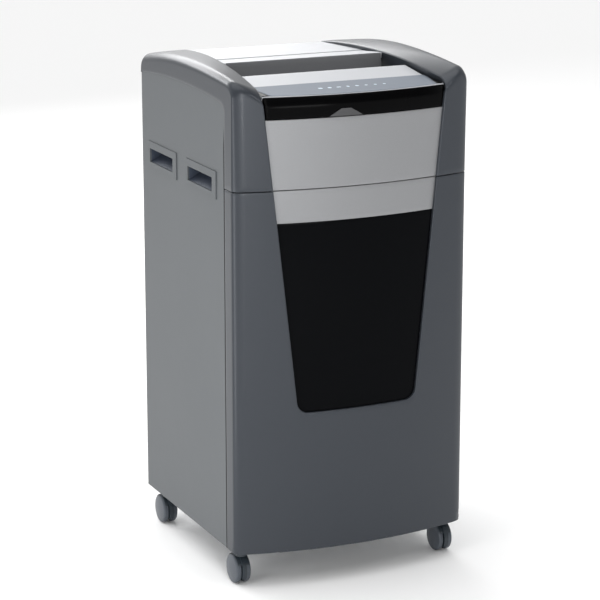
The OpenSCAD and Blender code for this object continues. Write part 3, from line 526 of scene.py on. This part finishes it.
def door_scoop(s, z):
    """Depth of the finger scoop in the door's free edge, on the right under the seam."""
    low, high = SCOOP_Z
    over = ease(z, low - 0.006, low + 0.008) * (1 - ease(z, high - 0.008, high + 0.006))
    return SCOOP_DEPTH * over * ease(s, S_CREASE - 0.004, S_CREASE + 0.010)


def skin(s, z, depth=0.0):
    """Points of the front skin at distances s from the middle of the plan's outline, negative to
    the left, at heights z and a depth measured inwards along the normal."""
    s, z, depth = np.broadcast_arrays(np.asarray(s, float), z, depth)
    depth = depth + door_scoop(s, z)
    x, y, normal_x, normal_y = (np.interp(np.abs(s), OUTLINE[:, 0], OUTLINE[:, i]) for i in (1, 2, 3, 4))
    return np.stack([np.sign(s) * (x - depth * normal_x), y - depth * normal_y, z], axis=-1)


def insert_outline():
    """Half of the insert's outline in (s, z), from its top edge down the side, round the lower
    corner to the middle of its foot."""
    lean = math.sqrt(1 + INSERT_LEAN ** 2)
    round_z = INSERT_FOOT + INSERT_R
    round_x = insert_x(round_z) - INSERT_R * lean
    turns = np.linspace(-math.atan(INSERT_LEAN), -math.pi / 2, OUTLINE_ARC + 1)
    arc = np.column_stack([round_x + INSERT_R * np.cos(turns), round_z + INSERT_R * np.sin(turns)])
    top = np.array([insert_x(DOOR_TOP), DOOR_TOP])
    side = top + (arc[0] - top) * np.linspace(0, 1, OUTLINE_SIDE + 1)[:-1, None]
    foot_x = np.linspace(round_x, 0, OUTLINE_FOOT + 1)[1:]
    foot = np.column_stack([foot_x, np.full(OUTLINE_FOOT, INSERT_FOOT)])
    half = np.vstack([side, arc, foot])
    return np.column_stack([side_of(half[:, 0]), half[:, 1]])


def frame_outline(edge_s, foot, r):
    """Half of a rounded frame in (s, z), with as many points as the insert's outline."""
    turns = np.linspace(0, -math.pi / 2, OUTLINE_ARC + 1)
    arc = np.column_stack([edge_s - r + r * np.cos(turns), foot + r + r * np.sin(turns)])
    side_z = np.linspace(DOOR_TOP, foot + r, OUTLINE_SIDE + 1)[:-1]
    side = np.column_stack([np.full(OUTLINE_SIDE, edge_s), side_z])
    base_s = np.linspace(edge_s - r, 0, OUTLINE_FOOT + 1)[1:]
    base = np.column_stack([base_s, np.full(OUTLINE_FOOT, foot)])
    return np.vstack([side, arc, base])


def door_grid():
    """The door's skin between the insert's opening and its outer edge: rings that change evenly
    from the one outline to the other."""
    inset = 0.006
    hole = insert_outline()
    middle = frame_outline(S_BOW - inset, BASE_Z + 0.04, 0.02)
    outer = frame_outline(S_EDGE, BASE_Z, 0.006)
    rings = [hole + (middle - hole) * part for part in np.linspace(0, 1, 20)]
    to_crease = (S_CREASE - S_BOW + inset) / (S_EDGE - S_BOW + inset)
    for part in np.concatenate([np.linspace(0, to_crease, 31)[1:], np.linspace(to_crease, 1, 7)[1:]]):
        rings.append(middle + (outer - middle) * part)
    whole = np.array([np.vstack([ring, ring[-2::-1] * [-1, 1]]) for ring in rings])
    return skin(whole[..., 0], whole[..., 1])


front = (0, -1, 0)
door = door_grid()
door = rolled(door, "top", 0.0016, INSERT_DEPTH, front)
door = rolled(door, "foot", 0.0014, 0.006, front)
door = rolled(door, "left", 0.0012, 0.008, front)
door = rolled(door, "right", 0.0012, 0.008, front)
door_skin = add_sheet("door_skin", door, front, hood_plastic, "door")
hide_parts("door_shell")

# ---- Insert: silver strip, smoked window and silver fascia ----
# Bowed panels that sit a few millimetres behind the skin; the two silver ones meet at the seam.


def insert_panel(name, body, low_z, high_z, depth, material, sag=0.0, lap=0.004):
    """A bowed panel across the insert between two heights, its half width insert_x(z) + lap and
    its lower corners rounded; sag is how far its middle swells forwards."""
    z = np.linspace(low_z, high_z, max(8, int((high_z - low_z) / 0.008)))[:, None]
    across = np.linspace(-1, 1, 81)[None, :]
    half = insert_x(z) + lap
    drop = np.clip((INSERT_FOOT - lap + INSERT_R - z) / INSERT_R, 0, 1)
    half = half - INSERT_R * (1 - np.sqrt(1 - drop ** 2 * 0.98))
    rise = (z - low_z) / (high_z - low_z)
    grid = skin(side_of(half * across), z + 0 * across, depth - sag * 4 * rise * (1 - rise))
    grid = rolled(grid, "top", 0.0008, 0.003, front)
    grid = rolled(grid, "foot", 0.0008, 0.003, front)
    return add_sheet(name, grid, front, material, body, 0.0022)


silver_paint = finish_of("silver_paint", linear(140, 141, 143), 0.42, metallic=0.4, flakes=0.06,
                         grain=1200.0, height=0.2)
smoked_black = finish_of("smoked_black", linear(8, 9, 11), 0.12, grain=300.0, height=0.05, specular=0.03,
                         wear=0.1)
for name, node, body, depth, material, slot in (
        ("silver_strip", "door_strip", "door", INSERT_DEPTH, silver_paint, "silver_plastic"),
        ("smoked_window", "door_window", "door", INSERT_DEPTH + 0.0005, smoked_black, "gloss_black"),
        ("silver_fascia", "head_fascia", "cabinet", INSERT_DEPTH, silver_paint, "silver_plastic")):
    low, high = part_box(node)
    panel = insert_panel(name, body, low[2], high[2], depth, material)
    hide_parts(node)

# ---- Lid ----
# A light grey moulding hinged at the rear, with a touch strip, symbol lights and a gloss band.
# The panels are grids laid over its side profile; the strip and the lights sit on top of them.

lid_plastic = finish_of("lid_plastic", linear(191, 193, 197), 0.4, grain=1100.0, height=0.25)
strip_film = finish_of("strip_film", linear(112, 120, 131), 0.56, grain=1400.0, height=0.12)
lamp_white = finish_of("lamp_white", linear(196, 212, 226), 0.35, grain=700.0, height=0.1)
gloss_black = finish_of("gloss_black", linear(4, 4, 5), 0.16, grain=300.0, height=0.04,
                        specular=0.05, wear=0.1)
corner_black = finish_of("corner_black", linear(9, 9, 10), 0.3, grain=300.0, height=0.04, specular=0.03)
tab_plastic = finish_of("tab_plastic", linear(64, 64, 66), 0.4, grain=1000.0, height=0.3)
throat_plastic = finish_of("throat_plastic", linear(96, 97, 99), 0.45, grain=1000.0, height=0.3)
dress(lid_plastic, "rear_cover", edge=0.0008)
dress(tab_plastic, "finger_tab", edge=0.0006)
dress(throat_plastic, "slot_throat")

LID_GAP = 0.002
BAND_T = 0.004
BAND_LOW, BAND_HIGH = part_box("lid_band")
THROAT_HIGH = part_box("slot_throat")[1]
LID_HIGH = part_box("lid_shell")[1]
PANEL_FRONT_Y = -0.2565
PANEL_MID_Y = -0.159
RIDGE_Y = -0.088
PANEL_RISE = 0.007
RIDGE_BELOW = 0.024
PANEL_SIDE = np.array([[PANEL_FRONT_Y, BAND_HIGH[2]], [PANEL_MID_Y, BAND_HIGH[2] + PANEL_RISE],
                       [RIDGE_Y, TOP_Z - RIDGE_BELOW]])
SLIT_Y = -0.025
SLIT_Z = TOP_Z - 0.076
STRIP_END = (0.181, 0.193)
STRIP_END_Y = (-0.240, -0.173)
upward = (0, -0.2, 1)


def lid_front_y(x):
    """Front edge of the lid's panel: the bow, behind the band."""
    return bow_y(x) + INSERT_DEPTH + BAND_T


def lid_height(y):
    """Height of the lid's panel at a depth: two straight slopes."""
    return np.interp(y, PANEL_SIDE[:, 0], PANEL_SIDE[:, 1])


def lid_half(y):
    """Half width of the lid at a depth."""
    return lid_x(y) - LID_GAP


def over_panel(rows, rows_end, half, lift, inset=0.0):
    """A grid over the lid's panel: rows run back from its bowed front edge to rows_end, half(y)
    gives the half width, and lift is its height above the panel."""
    across = np.linspace(-1, 1, 61)[None, :]
    y = np.linspace(lid_front_y(0.0) + inset, rows_end, rows)[:, None]
    x = half(y) * across
    fade = np.clip((rows_end - y) / (rows_end - lid_front_y(0.0) - inset), 0, 1)
    y = y + (lid_front_y(x) - lid_front_y(0.0)) * fade
    return np.stack([half(y) * across, y, lid_height(y) + lift], axis=-1)


# Front panel, over the ridge and down the slope to the slit
panel = over_panel(26, PANEL_MID_Y, lid_half, 0.0)
RIDGE_BEND = 0.004
slope = unit(np.array([SLIT_Y - RIDGE_Y, SLIT_Z - PANEL_SIDE[2, 1]]))
climb = unit(PANEL_SIDE[2] - PANEL_SIDE[1])
before, after = PANEL_SIDE[2] - RIDGE_BEND * climb, PANEL_SIDE[2] + RIDGE_BEND * slope
bend = np.array(round_corner(before, PANEL_SIDE[2], after, 6))
rise = PANEL_SIDE[1] + (before - PANEL_SIDE[1]) * np.linspace(0, 1, 9)[1:-1, None]
fall = after + (np.array([SLIT_Y, SLIT_Z]) - after) * np.linspace(0, 1, 7)[1:, None]
behind = np.vstack([rise, bend, fall])
across = np.linspace(-1, 1, 61)[None, :]
behind_y, behind_z = behind[:, :1], behind[:, 1:]
behind = np.stack([lid_half(behind_y) * across, behind_y + 0 * across, behind_z + 0 * across], axis=-1)
panel = np.concatenate([panel, behind])
panel = rolled(panel, "top", 0.0008, 0.004, upward)
panel = rolled(panel, "left", 0.0014, 0.016, upward)
panel = rolled(panel, "right", 0.0014, 0.016, upward)
lid_panel = add_sheet("lid_panel", panel, upward, lid_plastic, "lid", 0.002)
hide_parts("lid_shell")

# Rear strip, from the top of the slot's wall back over the hinge
strip_y = np.linspace(THROAT_HIGH[1] - 0.0062, LID_HIGH[1] - 0.006, 14)[:, None]
strip_z = THROAT_HIGH[2] + 0.0002 - 0.005 * ease(strip_y, strip_y[0], strip_y[-1])
rear_strip = np.stack([lid_half(strip_y) * across, strip_y + 0 * across, strip_z + 0 * across], axis=-1)
rear_strip = rolled(rear_strip, "top", 0.0015, 0.002, upward)
rear_strip = rolled(rear_strip, "foot", 0.004, 0.003, upward, steps=5)
rear_strip = rolled(rear_strip, "left", 0.0014, 0.010, upward)
rear_strip = rolled(rear_strip, "right", 0.0014, 0.010, upward)
rear_strip = add_sheet("lid_rear_strip", rear_strip, upward, lid_plastic, "lid", 0.002)


def strip_half(y):
    """Half width of the touch strip: it leaves a narrow black corner at each end."""
    slant = np.interp(y, STRIP_END_Y, STRIP_END)
    return np.minimum(slant, lid_half(y) - 0.0004)


# Touch strip along the front edge, and the black corners beside it
touch = over_panel(22, PANEL_MID_Y + 0.001, strip_half, 0.0007, inset=0.0012)
touch = rolled(touch, "top", 0.0004, 0.0002, upward)
touch = rolled(touch, "foot", 0.0004, 0.0002, upward)
touch_strip = add_sheet("touch_strip", touch, upward, strip_film, "lid", 0.0003)
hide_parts("control_strip")
for side, mirror in (("right", 1), ("left", -1)):
    y = np.linspace(float(lid_front_y(0.19)) + 0.0005, STRIP_END_Y[1], 16)[:, None]
    x = strip_half(y) + (lid_half(y) - 0.0006 - strip_half(y)) * np.linspace(0, 1, 6)[None, :]
    wedge = np.stack([mirror * x, y + 0 * x, lid_height(y) + 0.0005 + 0 * x], axis=-1)
    wedge = add_sheet("band_corner_" + side, wedge, upward, corner_black, "lid", 0.0003)


def light_pad(x, y, wide, deep, power):
    """A small raised light on the touch strip: rings of a superellipse |x|^n + |y|^n = 1, lifted
    by a low dome."""
    angle = np.linspace(0, 2 * math.pi, 33)[None, :]
    ring = np.array([0.02, 0.5, 0.85, 1.0])[:, None]
    curve_x = np.sign(np.cos(angle)) * np.abs(np.cos(angle)) ** (2 / power)
    curve_y = np.sign(np.sin(angle)) * np.abs(np.sin(angle)) ** (2 / power)
    pad_x, pad_y = x + wide * ring * curve_x, y + deep * ring * curve_y
    return np.stack([pad_x, pad_y, lid_height(pad_y) + 0.00075 + 0.0003 * (1 - ring ** 2)], axis=-1)


# Half width, half depth and power of each light's outline, from left to right
LIGHT_START = -0.060
LIGHT_PITCH = 0.020
LIGHT_Y = -0.206
LIGHT_SHAPES = ((0.0045, 0.0040, 4), (0.0042, 0.0042, 2), (0.0045, 0.0030, 5), (0.0030, 0.0045, 2),
                (0.0048, 0.0040, 1.2), (0.0032, 0.0032, 2), (0.0032, 0.0032, 2), (0.0032, 0.0032, 2))
points, faces = [], []
for place, (wide, deep, power) in enumerate(LIGHT_SHAPES):
    pad = light_pad(LIGHT_START + LIGHT_PITCH * place, LIGHT_Y, wide, deep, power)
    faces.append(grid_faces(*pad.shape[:2])[:, ::-1] + sum(len(p) for p in points))
    points.append(pad.reshape(-1, 3))
symbol_lights = add_piece("symbol_lights", np.vstack(points), np.vstack(faces), lamp_white, "lid")
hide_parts("icon_lights")

# Gloss band: swells forwards a little and curves back onto the lid's top
BAND_SWELL = 0.0024
BAND_LEAN = 0.002
z = np.linspace(BAND_LOW[2], BAND_HIGH[2] - 0.0006, 16)[:, None]
part = (z - z[0]) / (z[-1] - z[0])
s = side_of((insert_x(z) - LID_GAP) * np.linspace(-1, 1, 81)[None, :])
band_depth = INSERT_DEPTH - 0.001 - BAND_SWELL * part * (1 - part) + BAND_LEAN * ease(part, 0.5, 1.0)
band = skin(s, z + 0 * s, band_depth)
band = rolled(band, "foot", 0.003, 0.002, (0, -1, 0.2), steps=6)
band = rolled(band, "top", 0.0008, 0.002, (0, -1, 0.2))
gloss_band = add_sheet("gloss_band", band, (0, -1, 0), gloss_black, "lid", 0.002)
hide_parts("lid_band")

# ---- Shadow gaps ----
# A narrow black strip in the joint between each steel side and the mouldings in front of it: painted shade
# of the gap, not a seal.
# It lies flat on the steel behind the door's edge, out of the way of the door when it swings.

# The strips' black is painted shade in the joint behind the door's edge
painted_gap_shadow = finish_of("painted_gap_shadow", linear(22, 23, 25), 0.7, specular=0.1)
GAP_W = 0.0063
GAP_TIP = 0.001
GAP_TOP = SKIRT[1] - 0.045
GAP_TAPER = 0.05
GAP_PROUD = 0.0002
GAP_T = 0.00015
for side, mirror in (("left", -1), ("right", 1)):
    panel_low, panel_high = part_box("side_panel_" + side)
    face_x = (panel_low if mirror < 0 else panel_high)[0] + mirror * GAP_PROUD
    gap = np.array([[[face_x, y, z] for y in (panel_low[1], panel_low[1] + wide)]
                    for z, wide in ((BASE_Z, GAP_W), (GAP_TOP - GAP_TAPER, GAP_W), (GAP_TOP, GAP_TIP))])
    gap = add_sheet("side_gap_shadow_" + side, gap, (mirror, 0, 0), painted_gap_shadow, "cabinet", GAP_T)

# ---- Side grips ----
# Moulded cups let into the steel panels, each with a plate that stands a little proud. The plates
# have the panel's grey, and what lies deeper than the panel's face is blue-grey.

CUP_START = 0.0018
CUP_DEEP = 0.0028
grip_plastic = finish_of("grip_plastic", linear(82, 86, 89), 0.5, grain=1200.0, height=0.3)
grip_nodes = Nodes(grip_plastic.node_tree)
grip_shader = grip_plastic.node_tree.nodes["Principled BSDF"]
plate_colour = grip_shader.inputs["Base Color"].links[0].from_socket
grip_place = grip_nodes.add("ShaderNodeTexCoord").outputs["Object"]
grip_side = grip_nodes.add("ShaderNodeSeparateXYZ", {"Vector": grip_place}).outputs["X"]
grip_side = grip_nodes.add("ShaderNodeMath", {0: grip_side}, operation="ABSOLUTE").outputs[0]
in_cup = grip_nodes.add("ShaderNodeMapRange", {
    "Value": grip_side, "From Min": HALF_W - CUP_DEEP, "From Max": HALF_W - CUP_START,
    "To Min": 1.0, "To Max": 0.0})
cup = grip_nodes.add("ShaderNodeMix", {"Factor": in_cup.outputs[0]}, data_type="RGBA")
grip_nodes.put(cup, 6, plate_colour)
cup.inputs[7].default_value = linear(58, 66, 80)
grip_nodes.put(grip_shader, "Base Color", cup.outputs[2])
dress(grip_plastic, "grips_left", "grips_right", edge=0.0004)

# ---- Castors ----
# Twin-wheel swivel castors with pressed-in stems: grey domed wheels, turned about the axle, and
# dark fenders over their treads that ride with the forks.

castor_grey = finish_of("castor_grey", linear(72, 78, 86), 0.36, wear=0.2, height=0.3)
castor_dark = finish_of("castor_dark", linear(38, 46, 53), 0.42)
WHEEL_R = 0.030
PAIR_HALF = 0.018
FENDER_FROM = math.radians(26)
FENDER_TO = math.radians(160)
FENDER_HALF = 0.0128
FENDER_ROOM = 0.0024
FENDER_T = 0.0014


def turned(profile, steps=64):
    """A closed body turned about the X axis from (x, radius) rows: y = r cos a, z = r sin a."""
    angle = np.linspace(0, 2 * math.pi, steps + 1)[None, :]
    x, r = profile[:, :1], profile[:, 1:]
    return np.stack([x + 0 * angle, r * np.cos(angle), r * np.sin(angle)], axis=-1)


def merged(name, grids, material, body, sharp=40):
    """One mesh of several grids whose doubled points are merged and normals turned outwards."""
    points, faces = [], []
    for grid in grids:
        faces.append(grid_faces(*grid.shape[:2]) + sum(len(p) for p in points))
        points.append(grid.reshape(-1, 3))
    piece = add_piece(name, np.vstack(points), np.vstack(faces), material, body, sharp)
    solid = bmesh.new()
    solid.from_mesh(piece.data)
    bmesh.ops.remove_doubles(solid, verts=solid.verts, dist=1e-6)
    bmesh.ops.recalc_face_normals(solid, faces=solid.faces)
    solid.to_mesh(piece.data)
    solid.free()
    piece.data.set_sharp_from_angle(angle=math.radians(sharp))
    return piece


def wheel_profile():
    """Half section of one wheel as (x, radius): a flat inner side, the tread with a small round,
    and a cap that swells to its middle as an arc."""
    radius = np.linspace(WHEEL_R - 0.003, 0, 12)
    dome = np.column_stack([PAIR_HALF - 0.0028 * (radius / WHEEL_R) ** 2, radius])
    inner = np.array([[0.0052, 0], [0.0052, WHEEL_R - 0.0012], [0.0064, WHEEL_R], [0.0115, WHEEL_R]])
    turns = np.linspace(0.15, 1.3, 6)
    rim = np.column_stack([0.0122 + 0.0032 * np.sin(turns), WHEEL_R - 0.003 + 0.003 * np.cos(turns)])
    return np.vstack([inner, rim, dome])


for corner in ("fl", "fr", "rl", "rr"):
    dress(castor_dark, "castor_fork_" + corner)
    low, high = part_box("castor_wheels_" + corner)
    axle = (np.array(low) + np.array(high)) / 2
    wheel = turned(wheel_profile())
    rod = turned(np.array([[-0.006, 0], [-0.006, 0.003], [0.006, 0.003], [0.006, 0]]), 24)
    wheels = merged("castor_discs_" + corner, [wheel + axle, wheel * [-1, 1, 1] + axle, rod + axle],
                    castor_grey, "wheels_" + corner)
    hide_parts("castor_wheels_" + corner)
    # Fender over the upper half of the treads, between the caps
    angle = np.linspace(FENDER_FROM, FENDER_TO, 25)[:, None]
    across = np.linspace(-1, 1, 9)[None, :]
    reach = WHEEL_R + FENDER_ROOM - 0.0006 * across ** 2
    fender = [FENDER_HALF * across + 0 * angle, -reach * np.cos(angle), reach * np.sin(angle)]
    fender = np.stack(fender, axis=-1)
    fender = rolled(fender, "left", 0.0006, 0.0004, (0, 0, 1))
    fender = rolled(fender, "right", 0.0006, 0.0004, (0, 0, 1))
    cover = add_sheet("castor_fender_" + corner, fender + axle, (0, 0, 1), castor_dark,
                      "fork_" + corner, FENDER_T)

# ---- Floor, lights and camera ----
# A pale even floor under soft boxes; the camera looks from the left, a little above. A dim front
# and a bright rear of the surroundings give the mouldings their soft edges.

FLOOR = 30
floor_mesh = bpy.data.meshes.new("floor")
floor_mesh.from_pydata([(-FLOOR, -FLOOR, 0), (FLOOR, -FLOOR, 0), (FLOOR, FLOOR, 0), (-FLOOR, FLOOR, 0)],
                       [], [(0, 1, 2, 3)])
floor_paint = bpy.data.materials.new("floor_paint")
floor_paint.use_nodes = True
floor_nodes = Nodes(floor_paint.node_tree)
floor_shader = floor_paint.node_tree.nodes["Principled BSDF"]
floor_noise = floor_nodes.add("ShaderNodeTexNoise", {"Scale": 3.0, "Detail": 6.0})
floor_nodes.put(floor_shader, "Base Color", floor_nodes.ramp(floor_noise.outputs["Fac"],
                                                            [(0.3, 0.965), (0.7, 0.98)]))
floor_shader.inputs["Roughness"].default_value = 0.8
floor_shader.inputs["Specular IOR Level"].default_value = 0.1
floor_mesh.materials.append(floor_paint)
floor = bpy.data.objects.new("floor", floor_mesh)
bpy.context.scene.collection.objects.link(floor)


def area_light(name, place, aim, size, power):
    """A rectangular soft box that faces a point."""
    data = bpy.data.lights.new(name, "AREA")
    data.shape = "RECTANGLE"
    data.size, data.size_y = size
    data.energy = power
    lamp = bpy.data.objects.new(name, data)
    lamp.location = place
    lamp.rotation_euler = (Vector(aim) - Vector(place)).to_track_quat("-Z", "Y").to_euler()
    lamp.visible_camera = False
    bpy.context.scene.collection.objects.link(lamp)


# An even overhead sky keeps the floor white; the boxes give the corners their bright lines
sky = bpy.data.lights.new("sky", "SUN")
sky.energy = 1.62
sky.angle = math.radians(70)
sky_lamp = bpy.data.objects.new("sky", sky)
sky_lamp.rotation_euler = (0, math.radians(-6), 0)
bpy.context.scene.collection.objects.link(sky_lamp)
area_light("left_box", (-3.4, 1.2, 1.6), (0, 0, 0.6), (2.2, 2.2), 6)
area_light("right_box", (3.2, -1.6, 1.7), (0, 0, 0.6), (1.8, 1.8), 9)
area_light("rear_box", (-0.4, 4.2, 2.8), (0, 0, 1.0), (5.0, 1.1), 125)
area_light("corner_box", (-1.3, -0.75, 0.55), (-0.25, -0.22, 0.6), (0.3, 1.1), 5)
area_light("front_strip", (-0.95, -3.1, 1.3), (0, 0, 1.0), (0.12, 1.9), 26)
area_light("knee_box", (0.8, -2.0, 2.15), (0, -0.2, 1.0), (0.8, 0.35), 6)
area_light("band_box", (0.35, -3.6, 0.8), (0, 0, 1.0), (1.0, 0.2), 6)

world = bpy.data.worlds.new("studio")
world.use_nodes = True
world_nodes = Nodes(world.node_tree)
backdrop = world.node_tree.nodes["Background"]
looking = world_nodes.add("ShaderNodeTexCoord").outputs["Generated"]
toward_light = world_nodes.add("ShaderNodeVectorMath", {0: looking, 1: (-0.2, 0.98, 0.0)},
                               operation="DOT_PRODUCT").outputs["Value"]
brightness = world_nodes.add("ShaderNodeMapRange", {
    "Value": toward_light, "From Min": -0.6, "From Max": 0.6, "To Min": 0.14, "To Max": 0.75})
world_nodes.put(backdrop, "Strength", brightness.outputs[0])
backdrop.inputs["Color"].default_value = (1, 1, 1, 1)
bpy.context.scene.world = world
bpy.context.scene.view_settings.view_transform = "Standard"

CAMERA_FALL = 14.44
CAMERA_TURN = 24.56
camera_data = bpy.data.cameras.new("camera")
camera_data.lens = 144.2
camera_data.sensor_width = 36
camera_data.clip_end = 50
camera = bpy.data.objects.new("camera", camera_data)
camera.location = (-2.040, -4.442, 1.786)
camera.rotation_euler = (math.radians(90 - CAMERA_FALL), 0, math.radians(-CAMERA_TURN))
bpy.context.scene.collection.objects.link(camera)
bpy.context.scene.camera = camera
